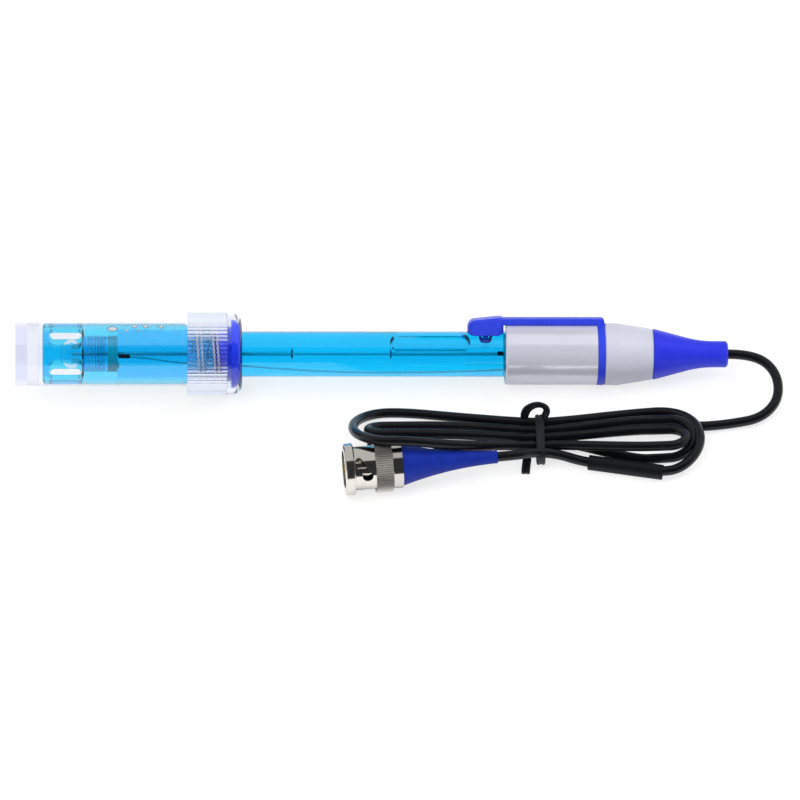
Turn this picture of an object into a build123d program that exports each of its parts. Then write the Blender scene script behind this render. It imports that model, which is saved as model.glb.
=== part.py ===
from build123d import *
import os
from math import acos, atan, cos, degrees, pi, radians, sin, tan

os.makedirs("parts", exist_ok=True)

# Sizes are in millimetres. The electrode is drawn along X from the tip of its guard, then laid to rest.

# clearances and broken edges
glide = 0.15
seat = 0.05
soft_gap = 0.1
edge_break = 0.3

# body tube, sensor guard and the pieces inside them
tube_r = 6.0
tube_wall = 1.2
tube_long = 122.0
guard_long = 11.0
guard_wall = 1.5
guard_spigot = 6.1
guard_spigot_wall = 1.3
guard_tip_edge = 0.5
guard_slot_in = 1.75
guard_slot_long = 8.5
guard_slot_wide = 3.6
guard_slot_count = 4
stem_r = 2.05
stem_wall = 0.6
bulb_r = 2.9
bulb_wall = 0.4
bulb_in = 4.7
seal_thick = 2.6
junction_r = 0.6
junction_proud = 0.4
wire_r = 0.3
wire_side = 40.0
reference_in = 1.2
reference_tip_r = 0.7
reference_tip = 4.5
bung_long = 8.0
bung_shows = 0.3
stem_in_bung = 4.0

# filling hole and the blue stopper over it
fill_back = 5.2
fill_r = 2.6
stopper_roll = 38.0
strap_wide = 5.0
strap_thick = 1.65
plug_long = 9.5
plug_wide = 6.8
plug_high = 4.0
plug_rise = 1.0
plug_corner = 1.9
plug_brow = 2.0
plug_edge = 0.7
nose_gap = 0.2
nose_tip_r = 1.5
nose_long = 3.6

# sleeve, stopper ring, cap and strain relief
sleeve_long = 24.3
sleeve_under = 0.1
tube_in_sleeve = 10.8
ring_thick = 1.9
cap_r = 8.2
spigot_under = 1.7
cap_spigot = 5.0
cap_straight = 3.6
cap_long = 12.8
cap_end_r = 6.75
core_r = 2.5
relief_spigot_r = 4.5
relief_spigot = 3.5
relief_taper = 12.5
relief_neck_r = 3.5
relief_hollow = 28.0
relief_long = 19.9
relief_edge = 0.5

# storage bottle, its screw collar and the gasket
bottle_r = 8.4
bottle_wall = 1.1
bottle_inside = 50.95
tip_gap = 1.2
foot_deep = 3.2
base_thick = 2.8
neck_long = 12.15
neck_wall = 0.55
thread_room = 1.05
collar_r = 11.0
collar_long = 14.5
knurl_long = 10.5
knurl_count = 60
knurl_deep = 0.4
collar_lip = 0.85
collar_round = 2.4
lip_gap = 0.4
gasket_r = 9.0
gasket_flange = 1.9
gasket_nose = 4.8
gasket_chamfer = 0.8

# cable
cable_r = 1.3

# BNC plug, drawn along X from its open front
bnc_flange = 2.55
bnc_flange_r = 6.8
bnc_barrel = 5.45
bnc_barrel_r = 5.7
bnc_knurl = 4.5
bnc_knurl_r = 6.8
bnc_knurl_count = 72
bnc_knurl_deep = 0.25
bnc_bore_r = 4.9
bnc_bore = 8.7
bnc_ramp_wide = 2.2
bnc_ramp_long = 4.0
bnc_ramp_tilt = 58.0
bnc_ramp_turn = 69.0
bnc_hole_r = 1.4
bnc_hole_in = 5.8
contact_r = 4.05
contact_wall = 0.6
contact_in = 1.6
contact_slits = 4
contact_slit_wide = 0.4
contact_slit_long = 4.0
contact_slit_turn = 45.0
groove_deep = 0.3
journal_r = 4.2
stop_thick = 0.5
washer_thick = 0.3
face_gasket_thick = 0.6
bnc_collar = 2.5
bnc_collar_r = 6.0
tail_tube_r = 3.0
tail_tube = 6.0
pin_r = 0.68
pin_in = 0.6
pin_long = 13.4
insulator_in = 1.7
boot_long = 25.2
boot_start_r = 5.55
boot_waist_r = 2.9
boot_waist = 11.5
boot_end_r = 1.7

# where the plug, the cable and the hank lie on the floor
bnc_front = (-8.3, -39.5)
bnc_yaw = 5.0
bnc_lift = 0.05
lead_first = 7.1
lead_points = [
    (107.0, -5.3, 5.9),
    (107.3, -12.8, 4.0),
    (102.3, -18.0, 2.9),
    (94.5, -19.3, 2.6),
]
lead_end = (87.6, -20.6, 2.5)
hank_left = (2.0, -21.8)
hank_left_r = 8.4
hank_waist = (43.9, -25.6)
hank_waist_r = 5.3
hank_right = (73.9, -25.4)
hank_right_r = 12.2
hank_high = 5.4
hank_round = 1.5
tail_first = 5.0
tail_end = (41.8, -32.6, 4.9)
stub = 6.0
tie_wide = 2.5
tie_thick = 0.9
tie_reach = 13.2
tie_corner = 2.0
tie_loop_r = 3.0
tie_loop_in = 1.2
tie_loop_wide = 1.5
marker_start = (56.0, -33.9)
marker_end = (75.2, -38.1)
marker_r = 2.0
marker_wall = 0.5

# radii worked out from the sizes above
tube_bore_r = tube_r - tube_wall
sleeve_r = cap_r - sleeve_under
cap_spigot_r = cap_r - spigot_under
guard_bore_r = tube_r - guard_wall
spigot_r = tube_bore_r - glide
stem_bore_r = stem_r - stem_wall
lane_r = (stem_r + tube_bore_r) / 2
strap_under_r = sleeve_r + soft_gap
strap_top_r = strap_under_r + strap_thick
plug_under_r = tube_r + soft_gap
plug_top_r = plug_under_r + plug_high
nose_root_r = fill_r - nose_gap
bottle_bore_r = bottle_r - bottle_wall
neck_r = bottle_bore_r + neck_wall
collar_bore_r = neck_r + thread_room
contact_bore_r = contact_r - contact_wall
groove_r = contact_r - groove_deep

# stations along the electrode, from the tip of the guard
tube_end = guard_long + tube_long
spigot_end = guard_long + guard_spigot
seal_start = spigot_end + seat
seal_end = seal_start + seal_thick
bulb_at = bulb_in + bulb_r
sleeve_start = tube_end - tube_in_sleeve
sleeve_end = sleeve_start + sleeve_long
fill_at = sleeve_start - fill_back
bung_start = sleeve_start - bung_shows
bung_end = bung_start + bung_long
ring_start = sleeve_end + seat
ring_end = ring_start + ring_thick
hinge_at = sleeve_end - strap_thick / 2
cap_start = ring_end + seat
cap_rest = cap_start + cap_straight
cap_end = cap_start + cap_long
relief_start = cap_end + seat
relief_end = relief_start + relief_long
bottle_floor = -tip_gap
bottle_base = bottle_floor - base_thick
bottle_start = bottle_base - foot_deep
neck_end = bottle_floor + bottle_inside
shoulder = neck_end - neck_long
gasket_start = neck_end + seat
gasket_end = gasket_start + gasket_flange
lip_start = gasket_end + seat
collar_end = lip_start + collar_lip
collar_start = collar_end - collar_long
knurl_end = collar_start + knurl_long

# stations along the plug, from its open front
knurl_at = bnc_flange + bnc_barrel
nut_end = knurl_at + bnc_knurl
stop_end = bnc_bore - washer_thick - 2 * seat
stop_start = stop_end - stop_thick
seat_start = stop_start - face_gasket_thick - 2 * seat
pin_end = pin_in + pin_long
boot_start = nut_end + glide + bnc_collar
boot_end = boot_start + boot_long

# the electrode rests on the collar and on the cap, so its axis leans a little
lean = atan((collar_r - cap_r) / (cap_rest - knurl_end))
middle = (bottle_start + relief_end) / 2
axis_z = (cap_rest - middle) * sin(lean) + cap_r * cos(lean)
rest = Pos(0, 0, axis_z) * Rot(0, degrees(lean), 0) * Pos(-middle, 0, 0)
roll = Rot(-stopper_roll, 0, 0)
wire_lane = Rot(-wire_side, 0, 0) * Pos(0, 0, -lane_r)

# the plug rests on the flange and the knurled grip of its nut
bnc_rest = bnc_flange - edge_break
bnc_pitch = atan((bnc_flange_r - bnc_knurl_r) / (nut_end - bnc_rest))
bnc_z = bnc_flange_r * cos(bnc_pitch) + bnc_rest * sin(bnc_pitch) + bnc_lift
bnc_place = Pos(*bnc_front, bnc_z) * Rot(0, 0, bnc_yaw) * Rot(0, degrees(bnc_pitch), 0)

# the tie holds the hank at its waist, a little above the floor
hank_under = tie_thick + seat
tie_middle = Pos(*hank_waist, hank_under + hank_high / 2) * Pos(0, -(tie_reach / 2 - hank_waist_r), 0)


def turned(corners):
    """A solid turned about X from (x, radius) corners."""
    return revolve(make_face(Polyline(*corners, close=True)), Axis.X)


def tube_along_x(start, end, outer, inner):
    """A plain round tube on the X axis."""
    return turned([(start, inner), (end, inner), (end, outer), (start, outer)])


def rod_along_x(start, end, radius):
    """A plain round rod on the X axis."""
    return turned([(start, 0), (end, 0), (end, radius), (start, radius)])


def rod_between(start, end, radius):
    """A round rod from one point to another."""
    axis = end - start
    return extrude(Plane(origin=start, z_dir=axis) * Circle(radius), amount=axis.length)


def ribbed_along_x(start, end, radius, count, deep):
    """A straight-knurled rod on the X axis."""
    points = []
    for i in range(count):
        crest = 2 * pi * i / count
        valley = 2 * pi * (i + 0.5) / count
        points.append((radius * cos(crest), radius * sin(crest)))
        points.append(((radius - deep) * cos(valley), (radius - deep) * sin(valley)))
    outline = make_face(Polyline(*points, close=True))
    return Pos(start, 0, 0) * Rot(0, 90, 0) * extrude(outline, amount=end - start)


def strip_on_top(start, end, outer, inner, wide):
    """The part of a tube that lies over the X axis and is no wider than a strip."""
    ring = tube_along_x(start, end, outer, inner)
    return ring & Pos((start + end) / 2, 0, outer / 2) * Box(end - start, wide, outer)


def body_tube():
    """Blue tube with the filling hole in its wall."""
    tube = tube_along_x(guard_long, tube_end, tube_r, tube_bore_r)
    return tube - roll * Pos(fill_at, 0, tube_r) * Cylinder(fill_r, 4 * tube_wall)


def sensor_guard():
    """Slotted guard round the bulb, with the spigot that screws into the tube."""
    joint = guard_long - seat
    narrow = spigot_r - guard_spigot_wall
    shell = turned(
        [
            (0, guard_bore_r),
            (joint - (guard_bore_r - narrow) / 2, guard_bore_r),
            (joint, narrow),
            (spigot_end, narrow),
            (spigot_end, spigot_r),
            (joint, spigot_r),
            (joint, tube_r),
            (guard_tip_edge, tube_r),
            (0, tube_r - guard_tip_edge),
        ]
    )
    slot = extrude(SlotOverall(guard_slot_long, guard_slot_wide), amount=2 * tube_r)
    for i in range(guard_slot_count):
        turn = Rot(360 * i / guard_slot_count, 0, 0)
        shell -= turn * Pos(guard_slot_in + guard_slot_long / 2, 0, 0) * slot
    return shell


def glass_stem():
    """Inner glass tube with the thin bulb blown on its end."""
    end = bung_start + stem_in_bung
    bulb = Pos(bulb_at, 0, 0)
    stem = rod_along_x(bulb_at, end, stem_r) + bulb * Sphere(bulb_r)
    return stem - rod_along_x(bulb_at, end, stem_bore_r) - bulb * Sphere(bulb_r - bulb_wall)


def stem_seal():
    """Dark ring that closes the tube round the stem, bored for the junction."""
    ring = tube_along_x(seal_start, seal_end, tube_bore_r - seat, stem_r + seat)
    return ring - Pos(0, -lane_r, 0) * rod_along_x(spigot_end, seal_end + seat, junction_r + seat)


def ceramic_junction():
    """Porous pin through the seal ring."""
    return Pos(0, -lane_r, 0) * rod_along_x(seal_start, seal_end + junction_proud, junction_r)


def sensing_wire():
    """Silver wire down the stem, held at the top by the bung."""
    return rod_along_x(bulb_at, bung_end, wire_r)


def reference_wire():
    """Silver wire in the outer chamber with its coated tip."""
    start = seal_end + reference_in
    tip = rod_along_x(start, start + reference_tip, reference_tip_r)
    return wire_lane * (tip + rod_along_x(start, bung_end, wire_r))


def tube_bung():
    """Bung that closes the top of the tube and holds the stem and both wires."""
    bung = rod_along_x(bung_start, bung_end, tube_bore_r - seat)
    socket = rod_along_x(bung_start, bung_start + stem_in_bung + seat, stem_r + seat)
    wire_bore = rod_along_x(bung_start, bung_end, wire_r + seat)
    return bung - socket - wire_bore - wire_lane * wire_bore


def cap_sleeve():
    """Grey sleeve over the top of the tube, bored behind for the cap's spigot."""
    step = sleeve_end - cap_spigot - seat
    return turned(
        [
            (sleeve_start, tube_r + seat),
            (tube_end + seat, tube_r + seat),
            (tube_end + seat, core_r),
            (step, core_r),
            (step, cap_spigot_r + seat),
            (sleeve_end, cap_spigot_r + seat),
            (sleeve_end, sleeve_r),
            (sleeve_start + edge_break, sleeve_r),
            (sleeve_start, sleeve_r - edge_break),
        ]
    )


def stopper_ring():
    """Ring of the stopper, clamped between sleeve and cap, with the root of its strap."""
    ring = tube_along_x(ring_start, ring_end, cap_r, cap_spigot_r + seat)
    root = strip_on_top(hinge_at + glide, ring_end, strap_top_r, strap_under_r, strap_wide)
    root += strip_on_top(ring_start, ring_end, strap_top_r, cap_spigot_r + seat, strap_wide)
    corner = root.faces().sort_by(Axis.X)[-1].edges().sort_by(Axis.Z)[-1]
    root = fillet(corner, strap_thick / 2)
    return roll * (ring + root)


def stopper_arm():
    """Strap that lies on the sleeve, with the plug at its end."""
    front = fill_at - plug_long / 2
    back = fill_at + plug_long / 2
    brow = (front, plug_top_r - plug_rise)
    side = make_face(Polyline((front, 0), (back, 0), (back, plug_top_r), brow, close=True))
    side = fillet(side.vertices().sort_by_distance(brow)[0], plug_brow)
    head = extrude(RectangleRounded(plug_long, plug_wide, plug_corner), amount=plug_top_r)
    head = Pos(fill_at, 0, 0) * head & extrude(Rot(90, 0, 0) * side, plug_wide, both=True)
    head = fillet(head.faces().sort_by(Axis.Z)[-1].edges(), plug_edge)
    head -= rod_along_x(front, back, plug_under_r)
    strap = strip_on_top(back - plug_corner, hinge_at, strap_top_r, strap_under_r, strap_wide)
    nose = Pos(fill_at, 0, plug_under_r - nose_long / 2) * Cone(nose_tip_r, nose_root_r, nose_long)
    nose += Pos(fill_at, 0, plug_under_r) * Cylinder(nose_root_r, soft_gap)
    return roll * (head + strap + nose)


def electrode_cap():
    """Grey tapered cap with the spigot that goes through the stopper ring into the sleeve."""
    start = sleeve_end - cap_spigot
    socket = cap_end - relief_spigot - seat
    return turned(
        [
            (start, core_r),
            (socket, core_r),
            (socket, relief_spigot_r + seat),
            (cap_end, relief_spigot_r + seat),
            (cap_end, cap_end_r - edge_break),
            (cap_end - edge_break, cap_end_r),
            (cap_rest, cap_r),
            (cap_start + edge_break, cap_r),
            (cap_start, cap_r - edge_break),
            (cap_start, cap_spigot_r),
            (start, cap_spigot_r),
        ]
    )


def strain_relief():
    """Blue strain relief that narrows in a hollow curve to its neck, with a round end face for the cable."""
    neck = (relief_start + relief_taper, relief_neck_r)
    edge = Polyline(
        (cap_end - relief_spigot, 0),
        (relief_end, 0),
        (relief_end, relief_neck_r - relief_edge),
        (relief_end - relief_edge, relief_neck_r),
        neck,
        (relief_start + edge_break, cap_end_r),
        (relief_start, cap_end_r - edge_break),
        (relief_start, relief_spigot_r),
        (cap_end - relief_spigot, relief_spigot_r),
        close=True,
    )
    section = make_face(edge)
    slope = atan((cap_end_r - relief_neck_r) / (relief_taper - edge_break))
    room = relief_end - 2 * relief_edge - neck[0]
    hollow = min(relief_hollow, room / tan(slope / 2))
    return revolve(fillet(section.vertices().sort_by_distance(neck)[0], hollow), Axis.X)


def storage_bottle():
    """Clear bottle with a hollow foot, a thick base and a neck."""
    return turned(
        [
            (bottle_start, bottle_bore_r),
            (bottle_start, bottle_r),
            (shoulder, bottle_r),
            (shoulder, neck_r),
            (neck_end, neck_r),
            (neck_end, bottle_bore_r),
            (bottle_floor, bottle_bore_r),
            (bottle_floor, 0),
            (bottle_base, 0),
            (bottle_base, bottle_bore_r),
        ]
    )


def bottle_collar():
    """Clear knurled collar: a skirt over the neck and a rounded shoulder over the gasket."""
    crown = rod_along_x(knurl_end, collar_end, collar_r - knurl_deep)
    collar = fillet(crown.faces().sort_by(Axis.X)[-1].edges(), collar_round)
    collar += ribbed_along_x(collar_start, knurl_end, collar_r, knurl_count, knurl_deep)
    collar -= rod_along_x(lip_start, collar_end, tube_r + lip_gap)
    collar -= rod_along_x(knurl_end, lip_start, gasket_r + glide)
    return collar - rod_along_x(collar_start, knurl_end, collar_bore_r)


def collar_gasket():
    """Blue gasket: a flange under the collar's lip and a nose in the bottle's mouth."""
    nose_end = gasket_start - gasket_nose
    nose_r = bottle_bore_r - seat
    return turned(
        [
            (nose_end, tube_r + seat),
            (gasket_end, tube_r + seat),
            (gasket_end, gasket_r),
            (gasket_start, gasket_r),
            (gasket_start, nose_r),
            (nose_end + gasket_chamfer, nose_r),
            (nose_end, nose_r - gasket_chamfer / 2),
        ]
    )


def bnc_coupling_nut():
    """Bayonet nut: flange, barrel with two ramps ending in round holes, and a knurled grip."""
    rim = bnc_flange_r - edge_break
    nut = turned(
        [
            (0, 0),
            (knurl_at, 0),
            (knurl_at, bnc_barrel_r),
            (bnc_flange, bnc_barrel_r),
            (bnc_flange, rim),
            (bnc_flange - edge_break, bnc_flange_r),
            (edge_break, bnc_flange_r),
            (0, rim),
        ]
    )
    nut += ribbed_along_x(knurl_at, nut_end, bnc_knurl_r, bnc_knurl_count, bnc_knurl_deep)
    nut -= rod_along_x(0, bnc_bore, bnc_bore_r)
    nut -= rod_along_x(bnc_bore, nut_end, journal_r + glide)
    along = bnc_ramp_long * cos(radians(bnc_ramp_tilt)) / 2
    across = bnc_ramp_long * sin(radians(bnc_ramp_tilt)) / 2
    ramp = Pos(-along, across) * Rot(0, 0, -bnc_ramp_tilt) * SlotCenterToCenter(bnc_ramp_long, bnc_ramp_wide)
    cutter = extrude(ramp, amount=bnc_flange_r) + extrude(Circle(bnc_hole_r), amount=bnc_flange_r)
    for turn in (0, 180):
        nut -= Rot(turn + bnc_ramp_turn, 0, 0) * Pos(bnc_hole_in, 0, 0) * cutter
    return nut


def bnc_body():
    """Plug body: slit contact tube, gasket groove, stop, journal for the nut, rear collar, tail tube."""
    collar = nut_end + glide
    body = turned(
        [
            (contact_in, contact_bore_r),
            (contact_in, contact_r),
            (seat_start, contact_r),
            (seat_start, groove_r),
            (stop_start, groove_r),
            (stop_start, bnc_bore_r - glide),
            (stop_end, bnc_bore_r - glide),
            (stop_end, journal_r),
            (collar, journal_r),
            (collar, bnc_collar_r),
            (boot_start, bnc_collar_r),
            (boot_start, tail_tube_r),
            (boot_start + tail_tube, tail_tube_r),
            (boot_start + tail_tube, 0),
            (pin_end + seat, 0),
            (pin_end + seat, contact_bore_r),
        ]
    )
    slit = Pos(contact_in, 0, 0) * Box(2 * contact_slit_long, contact_slit_wide, 4 * contact_r)
    for i in range(contact_slits // 2):
        body -= Rot(contact_slit_turn + 360 * i / contact_slits, 0, 0) * slit
    return body


def bnc_insulator():
    """White insulator round the centre pin."""
    return tube_along_x(insulator_in, pin_end, contact_bore_r - seat, pin_r + seat)


def bnc_centre_pin():
    """Centre pin with a rounded tip."""
    return rod_along_x(pin_in + pin_r, pin_end, pin_r) + Pos(pin_in + pin_r, 0, 0) * Sphere(pin_r)


def bnc_face_gasket():
    """Soft ring at the foot of the contact tube."""
    return tube_along_x(seat_start + seat, stop_start - seat, bnc_bore_r - glide, groove_r + seat)


def bnc_washer():
    """Thrust washer between the body's shoulder and the nut."""
    return tube_along_x(stop_end + seat, bnc_bore - seat, bnc_bore_r - glide, journal_r + seat)


def bnc_boot():
    """Blue boot that narrows in a hollow curve to the cable."""
    start = boot_start + seat
    hollow = boot_start + tail_tube + seat
    side = Spline((start, boot_start_r), (start + boot_waist, boot_waist_r), (boot_end, boot_end_r))
    edge = side + Polyline(
        (boot_end, boot_end_r),
        (boot_end, 0),
        (hollow, 0),
        (hollow, tail_tube_r + seat),
        (start, tail_tube_r + seat),
        (start, boot_start_r),
    )
    return revolve(make_face(edge), Axis.X)


def lead_route():
    """Corners of the cable from the strain relief to the hank."""
    start = (rest * Pos(relief_end, 0, 0)).position
    first = (rest * Pos(relief_end + lead_first, 0, 0)).position
    return [start, first] + [Vector(*p) for p in lead_points] + [Vector(*lead_end)]


def tail_route():
    """Corners of the cable from the boot to the hank."""
    start = (bnc_place * Pos(boot_end, 0, 0)).position
    first = (bnc_place * Pos(boot_end + tail_first, 0, 0)).position
    return [start, first, Vector(*tail_end)]


def swept_cable(corners):
    """Cable of straight runs with a tangent arc at each inner corner."""
    radii = []
    for before, here, after in zip(corners, corners[1:], corners[2:]):
        come = here - before
        leave = after - here
        turn = acos(come.dot(leave) / come.length / leave.length)
        radii.append(0.45 * min(come.length, leave.length) / tan(turn / 2))
    print("cord arc radii", [round(r, 2) for r in radii])
    path = FilletPolyline(*corners, radius=radii)
    return sweep(Plane(origin=path @ 0, z_dir=path % 0) * Circle(cable_r), path=path)


def cable_lead():
    """Cable from the strain relief to the hank."""
    return swept_cable(lead_route())


def cable_tail():
    """Cable from the boot to the hank."""
    return swept_cable(tail_route())


def marker_rod(radius, extra):
    """Rod on the line of the marker sleeve."""
    start = Vector(*marker_start, marker_r)
    end = Vector(*marker_end, marker_r)
    along = (end - start).normalized() * extra
    return rod_between(start - along, end + along, radius)


def marker_sleeve():
    """Shrunk marker sleeve on the outer strand."""
    return marker_rod(marker_r, 0) - marker_rod(marker_r - marker_wall, 1)


def cable_hank():
    """Hank of cable as one solid of its outer shape, with stubs for both ends and a seat for the marker."""
    left = Pos(*hank_left) * Circle(hank_left_r)
    waist = Pos(*hank_waist) * Circle(hank_waist_r)
    right = Pos(*hank_right) * Circle(hank_right_r)
    outline = make_hull(left.edges() + waist.edges()) + make_hull(waist.edges() + right.edges())
    hank = Pos(0, 0, hank_under) * extrude(outline, amount=hank_high)
    hank = fillet(hank.edges().group_by(Axis.Z)[-1], hank_round)
    zone = tie_middle * Box(tie_wide + 2 * seat, 2 * tie_reach, 2 * hank_high)
    bundle = RectangleRounded(hank_high, tie_reach, tie_corner)
    hank = hank - zone + tie_middle * Rot(0, 90, 0) * extrude(bundle, tie_wide / 2 + seat, both=True)
    for corners in (lead_route(), tail_route()):
        inward = (corners[-1] - corners[-2]).normalized()
        hank += rod_between(corners[-1], corners[-1] + inward * stub, cable_r)
    return hank - marker_rod(marker_r + seat, seat)


def cable_tie():
    """Flat tie round the waist of the hank, with the loop left standing on top."""
    inside = RectangleRounded(hank_high + 2 * seat, tie_reach + 2 * seat, tie_corner)
    around = 2 * tie_thick + 2 * seat
    outside = RectangleRounded(hank_high + around, tie_reach + around, tie_corner + tie_thick)
    tie = tie_middle * Rot(0, 90, 0) * extrude(outside - inside, tie_wide / 2, both=True)
    top = Pos(0, tie_reach / 2 - tie_loop_in, hank_high / 2 + tie_thick / 2 + tie_loop_r)
    hoop = Cylinder(tie_loop_r, tie_loop_wide) - Cylinder(tie_loop_r - tie_thick, tie_loop_wide)
    return tie + tie_middle * top * Rot(90, 0, 0) * hoop


electrode_pieces = [
    body_tube,
    sensor_guard,
    glass_stem,
    stem_seal,
    ceramic_junction,
    sensing_wire,
    reference_wire,
    tube_bung,
    cap_sleeve,
    stopper_ring,
    stopper_arm,
    electrode_cap,
    strain_relief,
    storage_bottle,
    bottle_collar,
    collar_gasket,
]
plug_pieces = [
    bnc_coupling_nut,
    bnc_body,
    bnc_insulator,
    bnc_centre_pin,
    bnc_face_gasket,
    bnc_washer,
    bnc_boot,
]
cord_pieces = [cable_lead, cable_hank, cable_tail, cable_tie, marker_sleeve]

for place, pieces in ((rest, electrode_pieces), (bnc_place, plug_pieces), (Pos(), cord_pieces)):
    for piece in pieces:
        shape = place * piece()
        print(piece.__name__, len(shape.solids()), round(shape.volume, 1))
        export_step(shape, f"parts/{piece.__name__}.step")
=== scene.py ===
from math import asin, cos, degrees, pi, radians, sin

import bmesh
import bpy
from mathutils import Matrix, Vector


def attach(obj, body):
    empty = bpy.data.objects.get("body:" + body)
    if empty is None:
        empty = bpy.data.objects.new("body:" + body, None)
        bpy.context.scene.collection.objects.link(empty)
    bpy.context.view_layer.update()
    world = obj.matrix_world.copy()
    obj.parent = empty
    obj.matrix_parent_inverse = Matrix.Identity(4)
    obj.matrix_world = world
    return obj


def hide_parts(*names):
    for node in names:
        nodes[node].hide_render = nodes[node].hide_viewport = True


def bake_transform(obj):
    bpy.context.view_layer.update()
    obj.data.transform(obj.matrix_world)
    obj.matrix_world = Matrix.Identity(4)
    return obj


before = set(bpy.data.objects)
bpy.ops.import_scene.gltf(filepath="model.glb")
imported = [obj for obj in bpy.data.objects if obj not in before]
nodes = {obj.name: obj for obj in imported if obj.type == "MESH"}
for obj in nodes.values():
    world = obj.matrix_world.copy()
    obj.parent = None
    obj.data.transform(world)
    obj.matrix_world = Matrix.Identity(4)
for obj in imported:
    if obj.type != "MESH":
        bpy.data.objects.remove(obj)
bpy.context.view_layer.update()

mm = 0.001
scene = bpy.context.scene

# the electrode lies along X from the tip of its guard and leans on its collar and its cap
lean = radians(1.5496528)
middle = 87.025 * mm
axis_high = 9.95684 * mm
on_electrode = Matrix.Translation((0, 0, axis_high)) @ Matrix.Rotation(lean, 4, "Y")
on_electrode = on_electrode @ Matrix.Translation((-middle, 0, 0))
on_stopper = on_electrode @ Matrix.Rotation(radians(-38), 4, "X")

# the plug lies on its nut, drawn along X from its open front
on_plug = Matrix.Translation((-8.3 * mm, -39.5 * mm, 6.85 * mm)) @ Matrix.Rotation(radians(5), 4, "Z")
boot_end = 40.35 * mm
knurl_middle = 10.25 * mm
knurl_half = 2.2 * mm
knurl_rough = 0.42

# sizes of the pieces that hold the liquids, in millimetres along and about the electrode
tube_r = 6.0
tube_bore_r = 4.8
guard_long = 11.0
guard_spigot_end = 17.1
guard_narrow_r = 3.35
stem_r = 2.05
stem_bore_r = 1.45
bulb_at = 7.6
bulb_r = 2.9
bulb_wall = 0.4
seal_end = 19.75
bung_start = 121.9
bung_socket_end = 125.9
bottle_floor = -1.2
bottle_bore_r = 7.3
gasket_nose_end = 45.0
neck_r = 7.85
spigot_r = 4.65

# how far a liquid's skin reaches into the wall that holds it, so that no air shows between them
film = 0.04

# how deep the grain of a surface may stand, and how soon a tint turns pale
relief_deep = 0.1 * mm
tint_fade = 0.2 * mm

# points nearer than this are joined, and edges bent more than this stay sharp
weld = 0.001 * mm
crease = radians(40)


def paint(code):
    """An sRGB hex colour as linear red, green, blue and full alpha."""
    parts = [int(code[i:i + 2], 16) / 255 for i in (1, 3, 5)]
    return [v / 12.92 if v <= 0.04045 else ((v + 0.055) / 1.055) ** 2.4 for v in parts] + [1]


def add(tree, kind, feeds=(), **settings):
    """Adds a node with its settings; feeds maps its sockets to values or to the sockets that feed them."""
    made = tree.nodes.new(kind)
    for name, value in settings.items():
        setattr(made, name, value)
    for name, value in dict(feeds).items():
        if isinstance(value, bpy.types.NodeSocket):
            tree.links.new(value, made.inputs[name])
        else:
            made.inputs[name].default_value = value
    return made


def finish(name, **sockets):
    """A new material with its shader's sockets set, underscores for the spaces in their names."""
    material = bpy.data.materials.new(name)
    material.use_nodes = True
    shader = material.node_tree.nodes["Principled BSDF"]
    for socket, value in sockets.items():
        shader.inputs[socket.replace("_", " ")].default_value = value
    return material, material.node_tree, shader


def moulded(name, low, high, rough, grain, cloud, bump, **sockets):
    """A solid material: clouds of two close colours, a fine grain in gloss and relief; sizes in millimetres."""
    material, tree, shader = finish(name, **sockets)
    place = add(tree, "ShaderNodeTexCoord").outputs["Object"]
    clouds = add(tree, "ShaderNodeTexNoise", {"Vector": place, "Scale": 1 / (cloud * mm), "Detail": 3})
    grains = add(tree, "ShaderNodeTexNoise", {"Vector": place, "Scale": 1 / (grain * mm), "Detail": 2})
    colour = {6: paint(low), 7: paint(high), 0: clouds.outputs["Fac"]}
    colour = add(tree, "ShaderNodeMix", colour, data_type="RGBA")
    gloss = {"Value": grains.outputs["Fac"], "To Min": rough[0], "To Max": rough[1]}
    gloss = add(tree, "ShaderNodeMapRange", gloss)
    relief = {"Height": grains.outputs["Fac"], "Strength": bump, "Distance": relief_deep}
    relief = add(tree, "ShaderNodeBump", relief)
    tree.links.new(colour.outputs[2], shader.inputs["Base Color"])
    tree.links.new(gloss.outputs["Result"], shader.inputs["Roughness"])
    tree.links.new(relief.outputs["Normal"], shader.inputs["Normal"])
    return material


def clear(name, tint, index, rough, wave, bump, gleam, pale=None, pale_from=0.0):
    """A clear material with a slow ripple, in millimetres, that lamps shine through; it may be pale past an x."""
    material, tree, shader = finish(
        name, Base_Color=paint(tint), IOR=index, Roughness=rough, Transmission_Weight=1.0,
        Specular_Tint=[gleam] * 3 + [1]
    )
    place = add(tree, "ShaderNodeTexCoord").outputs["Object"]
    ripple = add(tree, "ShaderNodeTexNoise", {"Vector": place, "Scale": 1 / (wave * mm), "Detail": 1})
    relief = {"Height": ripple.outputs["Fac"], "Strength": bump, "Distance": relief_deep}
    relief = add(tree, "ShaderNodeBump", relief)
    tree.links.new(relief.outputs["Normal"], shader.inputs["Normal"])
    if pale:
        along = add(tree, "ShaderNodeSeparateXYZ", {"Vector": place}).outputs["X"]
        thin = {"Value": along, "From Min": pale_from, "From Max": pale_from + tint_fade}
        thin = add(tree, "ShaderNodeMapRange", thin)
        shade = {6: paint(tint), 7: paint(pale), 0: thin.outputs["Result"]}
        shade = add(tree, "ShaderNodeMix", shade, data_type="RGBA")
        tree.links.new(shade.outputs[2], shader.inputs["Base Color"])
    seen = add(tree, "ShaderNodeLightPath")
    passed = add(tree, "ShaderNodeBsdfTransparent", {"Color": [v ** 0.5 for v in paint(pale or tint)]})
    either = {0: seen.outputs["Is Shadow Ray"], 1: shader.outputs["BSDF"], 2: passed.outputs["BSDF"]}
    either = add(tree, "ShaderNodeMixShader", either)
    tree.links.new(either.outputs["Shader"], tree.nodes["Material Output"].inputs["Surface"])
    return material


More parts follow.
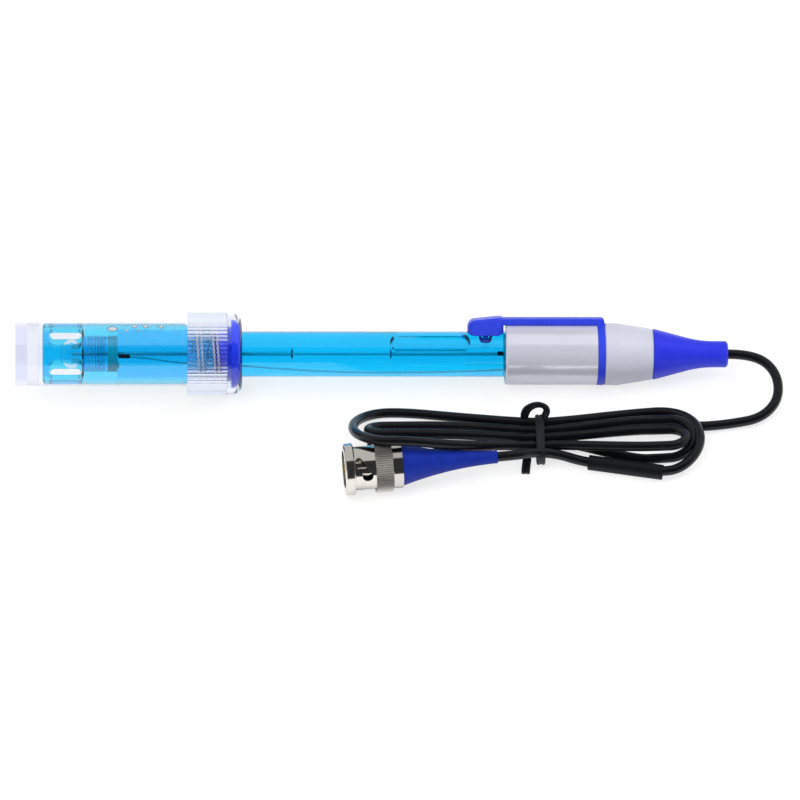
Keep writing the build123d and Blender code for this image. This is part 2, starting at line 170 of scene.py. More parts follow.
# polycarbonate tinted through: clear, saturated sky blue where the eye looks along a wall
blue_polycarbonate = clear("blue_polycarbonate", "#4CE0FF", 1.585, 0.02, 9.0, 0.03, 0.55)
# the same resin in the guard, thin in its threaded end
guard_polycarbonate = clear(
    "guard_polycarbonate", "#4CE0FF", 1.585, 0.02, 6.0, 0.03, 0.2,
    pale="#EEFAFF", pale_from=(guard_long + 0.1) * mm - middle
)
# injection-moulded polystyrene: water clear with a sharp gloss, cooler in the thick base
clear_polystyrene = clear(
    "clear_polystyrene", "#F0F2FE", 1.59, 0.03, 7.0, 0.04, 0.55,
    pale="#F9FBFF", pale_from=bottle_floor * mm - middle
)
# the collar in the same plastic, a little cooler all through
collar_polystyrene = clear("collar_polystyrene", "#EEF3FF", 1.59, 0.03, 7.0, 0.04, 0.6)
# white ridges on the neck's thread: a painted highlight for the gleam of the clear plastic's thread
thread_painted_gleam = moulded(
    "thread_painted_gleam", "#F0F4FF", "#FFFFFF", (0.3, 0.4), 0.2, 1.0, 0.1, Transmission_Weight=0.3, IOR=1.59
)
# white balls inside the air bubbles: a painted reflection for the light that a bubble turns back
bubble_painted_gleam = moulded(
    "bubble_painted_gleam", "#F4F8FF", "#FFFFFF", (0.1, 0.15), 0.5, 1.0, 0.01, Transmission_Weight=0.2, IOR=1.35
)
# drawn and blown laboratory glass: colourless, smooth
blown_glass = clear("blown_glass", "#F8FBFF", 1.5, 0.0, 12.0, 0.02, 0.6)
# potassium chloride solution: as clear as water, a little denser
salt_solution = clear("salt_solution", "#FCFEFF", 1.35, 0.0, 15.0, 0.01, 0.1)
# solid black PVC jacket: deep black with a soft sheen along its length
cable_pvc = moulded(
    "cable_pvc", "#07080B", "#0E0F13", (0.24, 0.34), 0.25, 6.0, 0.06, Specular_IOR_Level=0.28
)
# soft ribbon tie, extruded black PVC over its wire, a little greyer than the cable
tie_pvc = moulded("tie_pvc", "#121318", "#1B1C22", (0.34, 0.46), 0.3, 3.0, 0.06, Specular_IOR_Level=0.3)
# shrunk marker sleeve: matt black with the shallow wrinkles of its shrinking
marker_polyolefin = moulded(
    "marker_polyolefin", "#08090C", "#111217", (0.4, 0.55), 0.5, 4.0, 0.2, Specular_IOR_Level=0.2
)
# moulded silicone in strong blue: satin
blue_silicone = moulded(
    "blue_silicone", "#2034C2", "#2A40D2", (0.36, 0.48), 0.2, 3.0, 0.05, Specular_IOR_Level=0.3
)
# the gasket's silicone, a brighter blue than the stopper's
gasket_silicone = moulded(
    "gasket_silicone", "#2644FA", "#3050FF", (0.36, 0.48), 0.2, 3.0, 0.05, Specular_IOR_Level=0.2
)
# soft PVC strain relief: deep blue with a low sheen
blue_pvc = moulded("blue_pvc", "#1B25BE", "#2430D0", (0.34, 0.46), 0.25, 4.0, 0.06, Specular_IOR_Level=0.28)
# moulded PVC boot, darker blue with faint clouds
boot_pvc = moulded("boot_pvc", "#0A1C70", "#142E98", (0.36, 0.5), 0.25, 3.0, 0.06, Specular_IOR_Level=0.12)
# sprayed silver-grey sleeve: metal flake under a clear gloss
silver_lacquer = moulded(
    "silver_lacquer", "#C4C4D2", "#CCCCDA", (0.14, 0.2), 0.12, 5.0, 0.02, Metallic=0.27
)
# moulded ABS cap: pale grey, satin
grey_abs = moulded("grey_abs", "#B1B3C1", "#BDBFCC", (0.34, 0.44), 0.2, 5.0, 0.04)
# nitrile face seal of the plug, dark and slightly green
dark_nitrile = moulded("dark_nitrile", "#20342F", "#2C463F", (0.4, 0.5), 0.3, 2.0, 0.05)
# silicone seal of the stem, a cloudy sea green
green_silicone = moulded(
    "green_silicone", "#B4DCD2", "#C4EAE0", (0.4, 0.5), 0.3, 2.0, 0.05, Specular_IOR_Level=0.2
)
# porous ceramic: chalky off-white
white_ceramic = moulded("white_ceramic", "#E2DCCF", "#F0EBE0", (0.7, 0.85), 0.15, 1.0, 0.2)
# silicone bung, pale and cloudy
pale_bung = moulded("pale_bung", "#D5DEE8", "#E6EDF3", (0.35, 0.45), 0.3, 2.5, 0.05)
# turned PTFE: waxy white
white_ptfe = moulded("white_ptfe", "#ECEBE4", "#F6F5F0", (0.4, 0.5), 0.2, 2.0, 0.05)
# bright nickel plate: warm grey mirror with a faint bloom
bright_nickel = moulded("bright_nickel", "#BEB9B3", "#CEC9C3", (0.08, 0.16), 0.4, 3.0, 0.02, Metallic=1.0)
# the same plate on the nut, drawn a shade lighter than the body's as painted light; it scatters the light where
# it is knurled
knurled_nickel_painted_light = moulded("knurled_nickel_painted_light", "#C8C4BE", "#DAD6D0", (0.08, 0.16), 0.4, 3.0, 0.02, Metallic=1.0)
tree = knurled_nickel_painted_light.node_tree
shader = tree.nodes["Principled BSDF"]
place = add(tree, "ShaderNodeTexCoord").outputs["Object"]
front = on_plug.translation
forward = on_plug.to_3x3() @ Vector((1, 0, 0))
along = add(tree, "ShaderNodeVectorMath", {0: place, 1: front}, operation="SUBTRACT")
along = add(tree, "ShaderNodeVectorMath", {0: along.outputs["Vector"], 1: forward}, operation="DOT_PRODUCT")
knurl = {0: along.outputs["Value"], 1: knurl_middle, 2: knurl_half}
knurl = add(tree, "ShaderNodeMath", knurl, operation="COMPARE")
gloss = {0: knurl.outputs["Value"], 1: knurl_rough, 2: shader.inputs["Roughness"].links[0].from_socket}
gloss = add(tree, "ShaderNodeMath", gloss, operation="MULTIPLY_ADD")
tree.links.new(gloss.outputs["Value"], shader.inputs["Roughness"])
# gold plate on the contacts
gold_plate = moulded("gold_plate", "#D8A94E", "#E6BC66", (0.18, 0.26), 0.3, 1.5, 0.02, Metallic=1.0)
# silver chloride baked on the wire's end: dark brown, matt
silver_chloride = moulded("silver_chloride", "#1E1A1C", "#2E282A", (0.6, 0.75), 0.2, 1.0, 0.15)
# drawn silver wire, dulled by its chloride, and drawn near white as painted light so that it shows light in the
# tube's shade
silver_wire_painted_light = moulded("silver_wire_painted_light", "#ECF1F5", "#FFFFFF", (0.4, 0.55), 0.2, 2.0, 0.1, Metallic=0.1)

dressing = {
    "body_tube": blue_polycarbonate,
    "glass_stem": blown_glass,
    "stem_seal": green_silicone,
    "ceramic_junction": white_ceramic,
    "sensing_wire": silver_wire_painted_light,
    "tube_bung": pale_bung,
    "cap_sleeve": silver_lacquer,
    "electrode_cap": grey_abs,
    "strain_relief": blue_pvc,
    "storage_bottle": clear_polystyrene,
    "bottle_collar": collar_polystyrene,
    "collar_gasket": gasket_silicone,
    "bnc_coupling_nut": knurled_nickel_painted_light,
    "bnc_body": bright_nickel,
    "bnc_insulator": white_ptfe,
    "bnc_centre_pin": gold_plate,
    "bnc_face_gasket": dark_nitrile,
    "bnc_washer": bright_nickel,
    "bnc_boot": boot_pvc,
    "marker_sleeve": marker_polyolefin,
}
for name, material in dressing.items():
    mesh = nodes[name].data
    mesh.materials.clear()
    mesh.materials.append(material)


# camera: 45 degrees above the floor, square to the electrode, far off with a long lens
camera = bpy.data.objects.new("camera", bpy.data.cameras.new("camera"))
scene.collection.objects.link(camera)
camera.data.sensor_width = 36
camera.data.lens = 340.2
camera.data.clip_start = 0.05
camera.location = (-0.030549, -1.422454, 1.415506)
aim = Vector((0.007177, -0.008744, 0.001292))
camera.rotation_euler = (aim - camera.location).to_track_quat("-Z", "Y").to_euler()
scene.camera = camera

# cable: lead from the strain relief, seven strands through the tie, tail into the boot
cable_r = 1.3
lead = [
    (94.19, 0.0, 7.409),
    (101.29, 0.0, 7.217),
    (107.0, -5.3, 5.9),
    (107.3, -13.3, 3.6),
    (102.4, -18.8, 2.1),
    (94.5, -20.2, 1.6),
    (87.6, -20.9, 1.5),
    (81.7, -20.6, 1.35),
    (76.2, -19.9, 1.3),
    (67.2, -19.4, 1.3),
]
# each strand's (y, z) at the left fold, left of the tie, in the tie and in the right bow
wing_x, tie_x, bow_x = 20.5, (39.9, 47.9), 68.2
strands = [
    ((-21.0, 1.3), (-20.5, 1.3), (-22.8, 2.25), (-19.4, 1.3)),
    ((-30.0, 1.3), (-28.3, 1.3), (-25.6, 2.25), (-32.4, 1.3)),
    ((-21.0, 3.9), (-21.3, 3.9), (-24.4, 4.7), (-20.6, 3.9)),
    ((-27.8, 8.0), (-26.6, 6.1), (-27.0, 4.6), (-24.0, 3.7)),
    ((-37.7, 15.1), (-34.8, 10.2), (-29.5, 4.3), (-32.2, 5.8)),
    ((-13.4, 1.3), (-15.6, 1.5), (-21.7, 4.9), (-15.6, 1.4)),
    ((-32.1, 3.6), (-32.1, 3.6), (-32.1, 3.6), (-39.0, 2.0)),
]
# each fold: how far it reaches along X, how long its round is, how far it stands up
left_folds = [(-1.0, 4.5, 0.0), (-1.9, 4.6, 0.0), (-6.4, 10.6, 0.0)]
right_folds = [(84.4, 7.0, 1.0), (82.2, 5.0, 0.4), (86.4, 11.5, 2.7)]
# how much fuller than a half circle a fold is drawn, because the line cuts its corners
fuller = 1.06
# the last strand runs straight through the marker sleeve
in_marker = [(71.5, -37.3, 2.0), (64.6, -35.8, 2.0), (54.2, -33.5, 2.0)]


def fold(here, there, reach, round_long, lift):
    """Points of a strand's half turn from one lane to the next."""
    side = 1 if reach > tie_x[0] else -1
    points = []
    for angle in (-112.5, -67.5, -22.5, 22.5, 67.5, 112.5):
        share = (1 + fuller * sin(radians(angle))) / 2
        x = reach - side * round_long * (1 - cos(radians(angle)))
        y = here[0] + (there[0] - here[0]) * share
        z = here[1] + (there[1] - here[1]) * share + lift * max(0, cos(radians(angle)))
        points.append((x, y, z))
    return points


def hank(strands):
    """Points of the strands from the lead to the tail, fold by fold."""
    points = []
    for i, (near, wing, tie, bow) in enumerate(strands):
        lane = [(bow_x, *bow), (tie_x[1], *tie), (tie_x[0], *tie), (wing_x, *wing)]
        if i == 0:
            points += lane[1:]
        elif i == len(strands) - 1:
            points += in_marker + [lane[1]]
        elif i % 2:
            points += lane[::-1]
        else:
            points += lane
        if i + 1 < len(strands):
            if i % 2 == 0:
                points += fold(near, strands[i + 1][0], *left_folds[i // 2])
            else:
                turn = fold(bow, strands[i + 1][3], *right_folds[i // 2])
                points += turn if i + 2 < len(strands) else turn[1:-1]
    return points


tail = [(41.8, -32.6, 4.9), (36.877, -35.547, 6.85)]
boot_mouth = on_plug @ Vector((boot_end - 0.3 * mm, 0, 0))
route = [Vector(p) * mm for p in lead + hank(strands) + tail] + [boot_mouth]


def soft_line(name, points, tilts=None, cyclic=False):
    """A smooth NURBS curve through the neighbourhood of its points, in metres."""
    line = bpy.data.curves.new(name, "CURVE")
    line.dimensions = "3D"
    line.resolution_u = 10
    spline = line.splines.new("NURBS")
    spline.points.add(len(points) - 1)
    for i, (point, place) in enumerate(zip(spline.points, points)):
        point.co = (*place, 1)
        point.tilt = tilts[i] if tilts else 0
    spline.order_u = 3
    spline.use_cyclic_u = cyclic
    spline.use_endpoint_u = not cyclic
    thing = bpy.data.objects.new(name, line)
    scene.collection.objects.link(thing)
    return thing


cable = soft_line("cable", route)
cable.data.bevel_depth = cable_r * mm
cable.data.bevel_resolution = 6
cable.data.use_fill_caps = True
cable.data.materials.append(cable_pvc)
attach(cable, "electrode")
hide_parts("cable_lead", "cable_hank", "cable_tail")


def spun(outline, steps=96):
    """A bmesh turned about X from a line of (x, radius) points in millimetres."""
    shape = bmesh.new()
    points = [shape.verts.new((x * mm, 0, r * mm)) for x, r in outline]
    edges = [shape.edges.new(pair) for pair in zip(points, points[1:])]
    bmesh.ops.spin(
        shape, geom=points + edges, axis=(1, 0, 0), cent=(0, 0, 0), angle=2 * pi, steps=steps, use_merge=True
    )
    bmesh.ops.remove_doubles(shape, verts=shape.verts, dist=weld)
    bmesh.ops.recalc_face_normals(shape, faces=shape.faces)
    return shape


def arc(centre, radius, start, end, steps):
    """Points (x, radius) of a round stretch of an outline, angles in degrees from +X."""
    turns = [radians(start + (end - start) * i / steps) for i in range(steps + 1)]
    return [(centre + radius * cos(a), radius * sin(a)) for a in turns]


def screw(start, turns, pitch, foot_r, crest_r, wide):
    """A bmesh of one ridge wound right-handed about X, in millimetres."""
    shape = bmesh.new()
    corners = [(-wide / 2, foot_r), (-wide / 4, crest_r), (wide / 4, crest_r), (wide / 2, foot_r)]
    points = [shape.verts.new(((start + x) * mm, 0, r * mm)) for x, r in corners]
    edges = [shape.edges.new((points[i], points[(i + 1) % 4])) for i in range(4)]
    steps = round(72 * turns)
    bmesh.ops.spin(
        shape, geom=points + edges, axis=(1, 0, 0), cent=(0, 0, 0), angle=2 * pi * turns, steps=steps,
        dvec=(pitch * turns / steps * mm, 0, 0), use_merge=False
    )
    bmesh.ops.holes_fill(shape, edges=[e for e in shape.edges if e.is_boundary], sides=4)
    bmesh.ops.recalc_face_normals(shape, faces=shape.faces)
    return shape


def merged(shape, other, inside_out=False):
    """Adds another bmesh to a shape, turned inside out where it is a bubble in a liquid."""
    if inside_out:
        bmesh.ops.reverse_faces(other, faces=other.faces)
    passing = bpy.data.meshes.new("passing")
    other.to_mesh(passing)
    other.free()
    shape.from_mesh(passing)
    bpy.data.meshes.remove(passing)


def made(name, shape, material, place=on_electrode):
    """The bmesh as an object at the origin with its place in its mesh."""
    bmesh.ops.transform(shape, matrix=place, verts=shape.verts)
    mesh = bpy.data.meshes.new(name)
    shape.to_mesh(mesh)
    shape.free()
    if mesh.has_custom_normals:
        mesh.attributes.remove(mesh.attributes["custom_normal"])
    mesh.shade_smooth()
    mesh.set_sharp_from_angle(angle=crease)
    mesh.materials.append(material)
    piece = bpy.data.objects.new(name, mesh)
    scene.collection.objects.link(piece)
    return piece


def settled(piece):
    """The piece with its modifiers worked into its mesh."""
    bpy.context.view_layer.update()
    graph = bpy.context.evaluated_depsgraph_get()
    old = piece.data
    piece.data = bpy.data.meshes.new_from_object(piece.evaluated_get(graph))
    piece.modifiers.clear()
    piece.data.name = piece.name
    bpy.data.meshes.remove(old)
    return piece


# storage solution: fills the bottle, the slots of the guard and the room round the bulb
bulb_foot = degrees(asin((stem_r - film) / (bulb_r - film)))
storage = spun(
    [
        (bottle_floor - film, 0),
        (bottle_floor - film, bottle_bore_r + film),
        (gasket_nose_end + film, bottle_bore_r + film),
        (gasket_nose_end + film, tube_r - film),
        (guard_long - 0.1, tube_r - film),
        (guard_long - 0.1, guard_narrow_r + film),
        (guard_spigot_end + 2 * film, guard_narrow_r + film),
        (guard_spigot_end + 2 * film, stem_r - film),
    ]
    + arc(bulb_at, bulb_r - film, bulb_foot, 180, 16)
)
storage_solution = made("storage_solution", storage, salt_solution)


def cut_from(piece, tool):
    """Takes the tool's shape out of the piece and clears the tool away."""
    cut = piece.modifiers.new("cut", "BOOLEAN")
    cut.operation = "DIFFERENCE"
    cut.solver = "EXACT"
    cut.object = tool
    settled(piece)
    bpy.data.objects.remove(tool)
    piece.data.shade_smooth()
    piece.data.set_sharp_from_angle(angle=crease)


# guard: four wide slots with rounded corners round the bulb
slot_start, slot_end, slot_wide, slot_corner = 1.7, 10.4, 4.7, 1.3
slot_from_r, slot_deep = 3.3, 4.0
slots = bmesh.new()
for quarter in range(4):
    lie = on_electrode @ Matrix.Rotation(quarter * pi / 2, 4, "X")
    rim = []
    for corner, (side_x, side_y) in enumerate(((1, 1), (-1, 1), (-1, -1), (1, -1))):
        x = slot_end - slot_corner if side_x > 0 else slot_start + slot_corner
        y = side_y * (slot_wide / 2 - slot_corner)
        for step in range(7):
            turn = (corner + step / 6) * pi / 2
            place = Vector((x + slot_corner * cos(turn), y + slot_corner * sin(turn), slot_from_r)) * mm
            rim.append(slots.verts.new(lie @ place))
    raised = bmesh.ops.extrude_face_region(slots, geom=[slots.faces.new(rim)])["geom"]
    raised = [v for v in raised if isinstance(v, bmesh.types.BMVert)]
    bmesh.ops.translate(slots, vec=lie.to_3x3() @ Vector((0, 0, slot_deep * mm)), verts=raised)
bmesh.ops.recalc_face_normals(slots, faces=slots.faces)
guard_shape = bmesh.new()
guard_shape.from_mesh(nodes["sensor_guard"].data)
bmesh.ops.remove_doubles(guard_shape, verts=guard_shape.verts, dist=weld)
slotted_guard = made("slotted_guard", guard_shape, guard_polycarbonate, Matrix())
cut_from(slotted_guard, made("slot_tool", slots, guard_polycarbonate, Matrix()))
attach(slotted_guard, "electrode")
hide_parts("sensor_guard")

# air caught under the top of the bottle, each with a white ball inside it as a painted reflection: place along
# it, turn from the front, half length, half width
bubble_at_r, bubble_thick, gleam_share = 7.1, 0.6, 0.88
room = bmesh.new()
room.from_mesh(slotted_guard.data)
painted_gleam_balls = bmesh.new()
for along, turn, long, wide in (
    (18.4, 57, 1.4, 1.0),
    (22.1, 52, 0.45, 0.45),
    (24.2, 66, 0.8, 0.62),
    (25.3, 52, 0.4, 0.4),
    (27.2, 66, 0.85, 0.65),
    (31.2, 64, 0.75, 0.6),
):
    lie = on_electrode @ Matrix.Translation((along * mm, 0, 0)) @ Matrix.Rotation(radians(45 - turn), 4, "X")
    lie = lie @ Matrix.Translation((0, 0, bubble_at_r * mm))
    lie = lie @ Matrix.Diagonal((long, wide, min(wide, bubble_thick), 1))
    bmesh.ops.create_icosphere(room, subdivisions=3, radius=mm, matrix=lie)
    bmesh.ops.create_icosphere(painted_gleam_balls, subdivisions=3, radius=gleam_share * mm, matrix=lie)
room = made("room_tool", room, salt_solution, Matrix())
thinner = room.modifiers.new("thinner", "DISPLACE")
thinner.strength = -0.7 * film * mm
thinner.mid_level = 0
cut_from(storage_solution, room)
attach(storage_solution, "bottle")
# white balls in the air bubbles, drawn a little smaller than them: a painted reflection
bubble_painted_gleams = made("bubble_painted_gleams", painted_gleam_balls, bubble_painted_gleam, Matrix())
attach(bubble_painted_gleams, "bottle")

# filling solution round the stem, with the long air bubble under the top of the tube
bubble_start, bubble_end, bubble_low = 91.7, 112.9, 3.56
filling = spun(
    [
        (seal_end - film, tube_bore_r + film),
        (bung_start + film, tube_bore_r + film),
        (bung_start + film, stem_r - film),
        (seal_end - film, stem_r - film),
        (seal_end - film, tube_bore_r + film),
    ]
)
end_r = tube_bore_r - film
inset = end_r - (end_r ** 2 - bubble_low ** 2) ** 0.5
air = spun(
    arc(bubble_end + inset - end_r, end_r, 0, 90, 16) + arc(bubble_start - inset + end_r, end_r, 90, 180, 16)
)
bmesh.ops.bisect_plane(
    air,
    geom=air.verts[:] + air.edges[:] + air.faces[:],
    plane_co=(0, 0, bubble_low * mm),
    plane_no=(0, 0, 1),
    clear_inner=True,
)
bmesh.ops.holes_fill(air, edges=[e for e in air.edges if e.is_boundary], sides=0)
bmesh.ops.recalc_face_normals(air, faces=air.faces)
merged(filling, air, inside_out=True)
filling_solution = made("filling_solution", filling, salt_solution)
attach(filling_solution, "electrode")

# inner solution: in the bulb and up the stem, then above the column of air
column_start, column_end, sag = 66.0, 91.7, 0.7
bore = stem_bore_r + film
bulb_bore = bulb_r - bulb_wall + film
inner_foot = degrees(asin(bore / bulb_bore))
inner = spun(
    arc(bulb_at, bulb_bore, 180, inner_foot, 16)
    + [(column_start, bore), (column_start - 0.7 * sag, 0.6 * bore), (column_start - sag, 0)],
    steps=64,
)
upper = spun(
    [
        (column_end + sag, 0),
        (column_end + 0.7 * sag, 0.6 * bore),
        (column_end, bore),
        (bung_socket_end - film, bore),
        (bung_socket_end - film, 0),
    ],
    steps=64,
)
merged(inner, upper)
inner_solution = made("inner_solution", inner, salt_solution)
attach(inner_solution, "electrode")


def beside(x, toward, up):
    """A place in the tube, from its axis toward the front and up, in millimetres."""
    half = 0.5 ** 0.5
    return Vector((x, half * (up - toward), half * (up + toward))) * mm


# reference wire: the bare wire from the seal to the bung
wire_way = [
    (22.6, 2.9, -0.6),
    (28.0, 2.9, -0.9),
    (36.0, 2.9, -2.0),
    (48.6, 2.7, -2.4),
    (62.0, 2.2, -3.3),
    (76.3, 1.6, -4.0),
    (90.0, 1.2, -4.1),
    (102.8, 1.0, -3.9),
    (115.0, 1.0, -3.6),
    (122.5, 1.0, -3.3),
]
reference_lead = soft_line("reference_lead", [on_electrode @ beside(*place) for place in wire_way])
reference_lead.data.bevel_depth = 0.2 * mm
reference_lead.data.use_fill_caps = True
reference_lead.data.materials.append(silver_wire_painted_light)
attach(reference_lead, "electrode")
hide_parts("reference_wire")
# the wire's coated ends: start, length, radius, place beside the axis
ends = bmesh.new()
for start, long, r, toward, up in ((19.9, 3.2, 0.42, 2.9, -0.55), (120.0, 1.7, 0.5, 2.7, 0.1)):
    nose = [(0, 0), (0.1, 0.7 * r), (0.3, r)]
    end = spun(nose + [(long - x, across) for x, across in nose[::-1]], steps=24)
    bmesh.ops.translate(end, vec=beside(start, toward, up), verts=end.verts)
    merged(ends, end)
wire_ends = made("wire_ends", ends, silver_chloride)
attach(wire_ends, "electrode")

# screw thread on the bottle's neck and the finer one on the guard's spigot
thread_start = on_electrode @ Matrix.Rotation(radians(-90), 4, "X")
flank = {"pitch": 4.2, "foot_r": neck_r - 0.05, "crest_r": neck_r + 0.75, "wide": 0.6}
flanks = screw(start=39.4, turns=2.1, **flank)
merged(flanks, screw(start=40.45, turns=2.0, **flank))
# the neck's thread drawn white, a painted highlight
neck_thread = made("neck_thread", flanks, thread_painted_gleam, thread_start)
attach(neck_thread, "bottle")
spigot_ridge = screw(
    start=11.5, turns=6.0, pitch=0.85, foot_r=spigot_r - 0.04, crest_r=spigot_r + 0.13, wide=0.5
)
guard_thread = made("guard_thread", spigot_ridge, guard_polycarbonate)
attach(guard_thread, "electrode")

# filling stopper: ring, strap and plug as the one soft moulding that they are, bent at the strap's root
moulding = bmesh.new()
for name in ("stopper_ring", "stopper_arm"):
    moulding.from_mesh(nodes[name].data)
bmesh.ops.remove_doubles(moulding, verts=moulding.verts, dist=weld)
web = bmesh.new()
strap_half_wide, strap_r = 2.45, 9.0
half = asin(strap_half_wide / strap_r)
web_corners = [(145.4, 8.22), (146.1, 8.22), (146.1, 9.83), (145.4, 9.83)]
web_points = [web.verts.new((x * mm, -r * sin(half) * mm, r * cos(half) * mm)) for x, r in web_corners]
web_edges = [web.edges.new((web_points[i], web_points[(i + 1) % 4])) for i in range(4)]
bmesh.ops.spin(
    web,
    geom=web_points + web_edges,
    axis=(1, 0, 0),
    cent=(0, 0, 0),
    angle=-2 * half,
    steps=12,
    use_merge=False,
)
bmesh.ops.holes_fill(web, edges=[e for e in web.edges if e.is_boundary], sides=4)
bmesh.ops.recalc_face_normals(web, faces=web.faces)
bmesh.ops.transform(web, matrix=on_stopper, verts=web.verts)
merged(moulding, web)
stopper = made("filling_stopper", moulding, blue_silicone, Matrix())
skin = stopper.modifiers.new("skin", "REMESH")
skin.mode = "VOXEL"
skin.voxel_size = 0.15 * mm
skin.use_smooth_shade = True
soft = stopper.modifiers.new("soft", "SMOOTH")
soft.factor = 0.5
soft.iterations = 6
settled(stopper)
stopper.data.materials.clear()
stopper.data.materials.append(blue_silicone)
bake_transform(stopper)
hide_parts("stopper_ring", "stopper_arm")

# ribbon tie: a band round the strands, the loop left standing behind them and the end that sticks out
half_wide, half_thick = 1.15, 0.42
ribbon = bpy.data.curves.new("ribbon_section", "CURVE")
outline = ribbon.splines.new("POLY")
lobes = [(-1, 0), (-0.8, 0.85), (-0.5, 1), (-0.2, 0.7), (0, 0.5), (0.2, 0.7), (0.5, 1), (0.8, 0.85), (1, 0)]
lobes += [(x, -y) for x, y in lobes[-2:0:-1]]
outline.points.add(len(lobes) - 1)
for point, (x, y) in zip(outline.points, lobes):
    point.co = (x * half_wide * mm, y * half_thick * mm, 0, 1)
outline.use_cyclic_u = True
section = bpy.data.objects.new("ribbon_section", ribbon)
scene.collection.objects.link(section)

band = [
    (43.5, -34.2, 2.4),
    (43.5, -33.9, 5.0),
    (43.5, -31.0, 6.3),
    (43.5, -26.5, 6.55),
    (43.5, -21.8, 6.9),
    (43.5, -19.7, 5.8),
    (43.5, -19.9, 2.6),
    (43.5, -21.6, 0.5),
    (43.5, -26.5, 0.45),
    (43.5, -32.6, 0.5),
]
loop = [
    (44.4, -21.4, 6.0),
    (45.6, -20.8, 7.6),
    (45.2, -20.6, 9.7),
    (42.9, -20.8, 10.9),
    (40.6, -20.8, 9.6),
    (39.7, -20.5, 7.4),
    (39.5, -20.2, 4.8),
    (39.9, -20.0, 2.8),
]
stub = [(40.0, -30.8, 0.75), (39.7, -32.8, 0.6), (39.5, -34.4, 0.55), (39.4, -36.0, 0.55)]
tie_shape = bmesh.new()
for points, tilts, cyclic in (
    (band, [0] * len(band), True),
    (loop, [radians(a) for a in (0, 10, 30, 50, 70, 80, 90, 90)], False),
    (stub, [0] * len(stub), False),
):
    strip = soft_line("strip", [Vector(p) * mm for p in points], tilts, cyclic)
    strip.data.bevel_mode = "OBJECT"
    strip.data.bevel_object = section
    strip.data.use_fill_caps = True
    bpy.context.view_layer.update()
    swept = bpy.data.meshes.new_from_object(strip.evaluated_get(bpy.context.evaluated_depsgraph_get()))
    tie_shape.from_mesh(swept)
    bpy.data.meshes.remove(swept)
    bpy.data.objects.remove(strip)
bpy.data.objects.remove(section)
bmesh.ops.remove_doubles(tie_shape, verts=tie_shape.verts, dist=weld)
bmesh.ops.recalc_face_normals(tie_shape, faces=tie_shape.faces)
ribbon_tie = made("ribbon_tie", tie_shape, tie_pvc, Matrix())
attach(ribbon_tie, "electrode")
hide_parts("cable_tie")


# stage: a pale floor that keeps the shadow, white all round, soft lamps and two dark cards for the gloss;
# the floor's own glow for the camera and through clear pieces, the room's light and the bare backdrop
floor_half = 1.5
floor_glow, through_glow = 0.72, 0.92
room_light, backdrop_light = 0.7, 1.0


def card(name, corners, material):
    """A flat piece of the stage from its corners in metres."""
    shape = bmesh.new()
    shape.faces.new([shape.verts.new(corner) for corner in corners])
    sheet = bpy.data.meshes.new(name)
    shape.to_mesh(sheet)
    shape.free()
    sheet.materials.append(material)
    thing = bpy.data.objects.new(name, sheet)
    scene.collection.objects.link(thing)
    return thing


# matt white paper: a clean floor with a soft shadow
paper, tree, shader = finish(
    "white_paper", Base_Color=paint("#FFFFFF"), Roughness=0.9, Specular_IOR_Level=0.1
)
seen = add(tree, "ShaderNodeLightPath")
glow = add(tree, "ShaderNodeEmission", {"Color": paint("#FFFFFF"), "Strength": 1.0})
bare = {0: seen.outputs["Is Camera Ray"], 1: floor_glow}
bare = add(tree, "ShaderNodeMath", bare, operation="MULTIPLY")
share = {0: seen.outputs["Is Transmission Ray"], 1: through_glow, 2: bare.outputs[0]}
share = add(tree, "ShaderNodeMath", share, operation="MULTIPLY_ADD")
either = {0: share.outputs[0], 1: shader.outputs["BSDF"], 2: glow.outputs["Emission"]}
either = add(tree, "ShaderNodeMixShader", either)
tree.links.new(either.outputs["Shader"], tree.nodes["Material Output"].inputs["Surface"])
card("floor", [(x * floor_half, y * floor_half, 0) for x, y in ((-1, -1), (1, -1), (1, 1), (-1, 1))], paper)

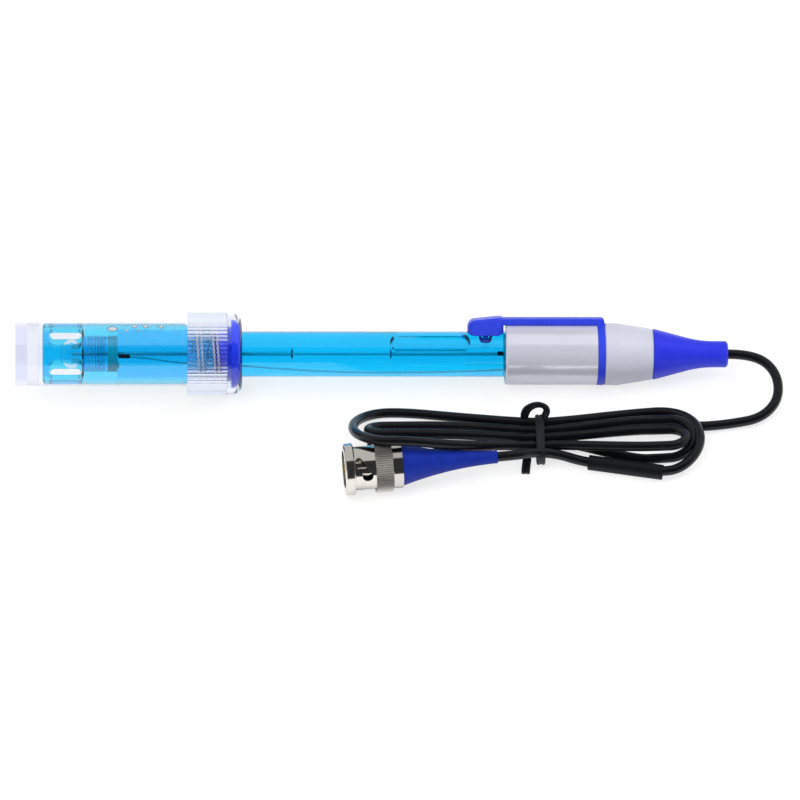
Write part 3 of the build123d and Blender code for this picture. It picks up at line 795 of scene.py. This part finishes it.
# matt card: black behind the electrode and the dim side of the room in front of it
black_card = finish("black_card", Base_Color=paint("#101012"), Roughness=0.9)[0]
dark_room = finish("dark_room", Base_Color=paint("#2A2A2E"), Roughness=0.9)[0]
back_left, back_right = 0.02, 0.075
back_low, back_high = (0.131, 0.084), (0.082, 0.135)
back_card = card(
    "back_card",
    [(back_left, *back_low), (back_right, *back_low), (back_right, *back_high), (back_left, *back_high)],
    black_card,
)
front_low, front_high = (-1.117, 0.0145), (-0.184, 0.948)
front_card = card(
    "front_card",
    [(-floor_half, *front_low), (floor_half, *front_low), (floor_half, *front_high), (-floor_half, *front_high)],
    dark_room,
)
for flag in (back_card, front_card):
    flag.visible_camera = False
    flag.visible_diffuse = False
    flag.visible_shadow = False
back_card.visible_transmission = False

world = bpy.data.worlds.new("studio")
scene.world = world
world.use_nodes = True
sky = world.node_tree
sky.nodes.clear()
seen = add(sky, "ShaderNodeLightPath")
direct = {0: seen.outputs["Is Camera Ray"], 1: seen.outputs["Is Transmission Ray"]}
direct = add(sky, "ShaderNodeMath", direct, operation="MAXIMUM")
strength = {"Value": direct.outputs[0], "To Min": room_light, "To Max": backdrop_light}
strength = add(sky, "ShaderNodeMapRange", strength)
backdrop = {"Color": paint("#FFFFFF"), "Strength": strength.outputs["Result"]}
backdrop = add(sky, "ShaderNodeBackground", backdrop)
add(sky, "ShaderNodeOutputWorld", {"Surface": backdrop.outputs["Background"]})

for name, place, size, power in (
    ("key_lamp", (-0.25, -0.35, 0.7), 0.5, 3.6),
    ("fill_lamp", (0.45, 0.1, 0.6), 0.4, 2.2),
):
    lamp = bpy.data.lights.new(name, "AREA")
    lamp.size = size
    lamp.energy = power
    lamp_object = bpy.data.objects.new(name, lamp)
    scene.collection.objects.link(lamp_object)
    lamp_object.location = place
    lamp_object.visible_glossy = False
    lamp_object.visible_transmission = False
    lamp_object.rotation_euler = (-Vector(place)).to_track_quat("-Z", "Y").to_euler()

scene.view_settings.view_transform = "Standard"
# light has to pass many walls and liquids, one inside the other
light_passes = 48
scene.cycles.max_bounces = light_passes
scene.cycles.transmission_bounces = light_passes
scene.cycles.transparent_max_bounces = light_passes
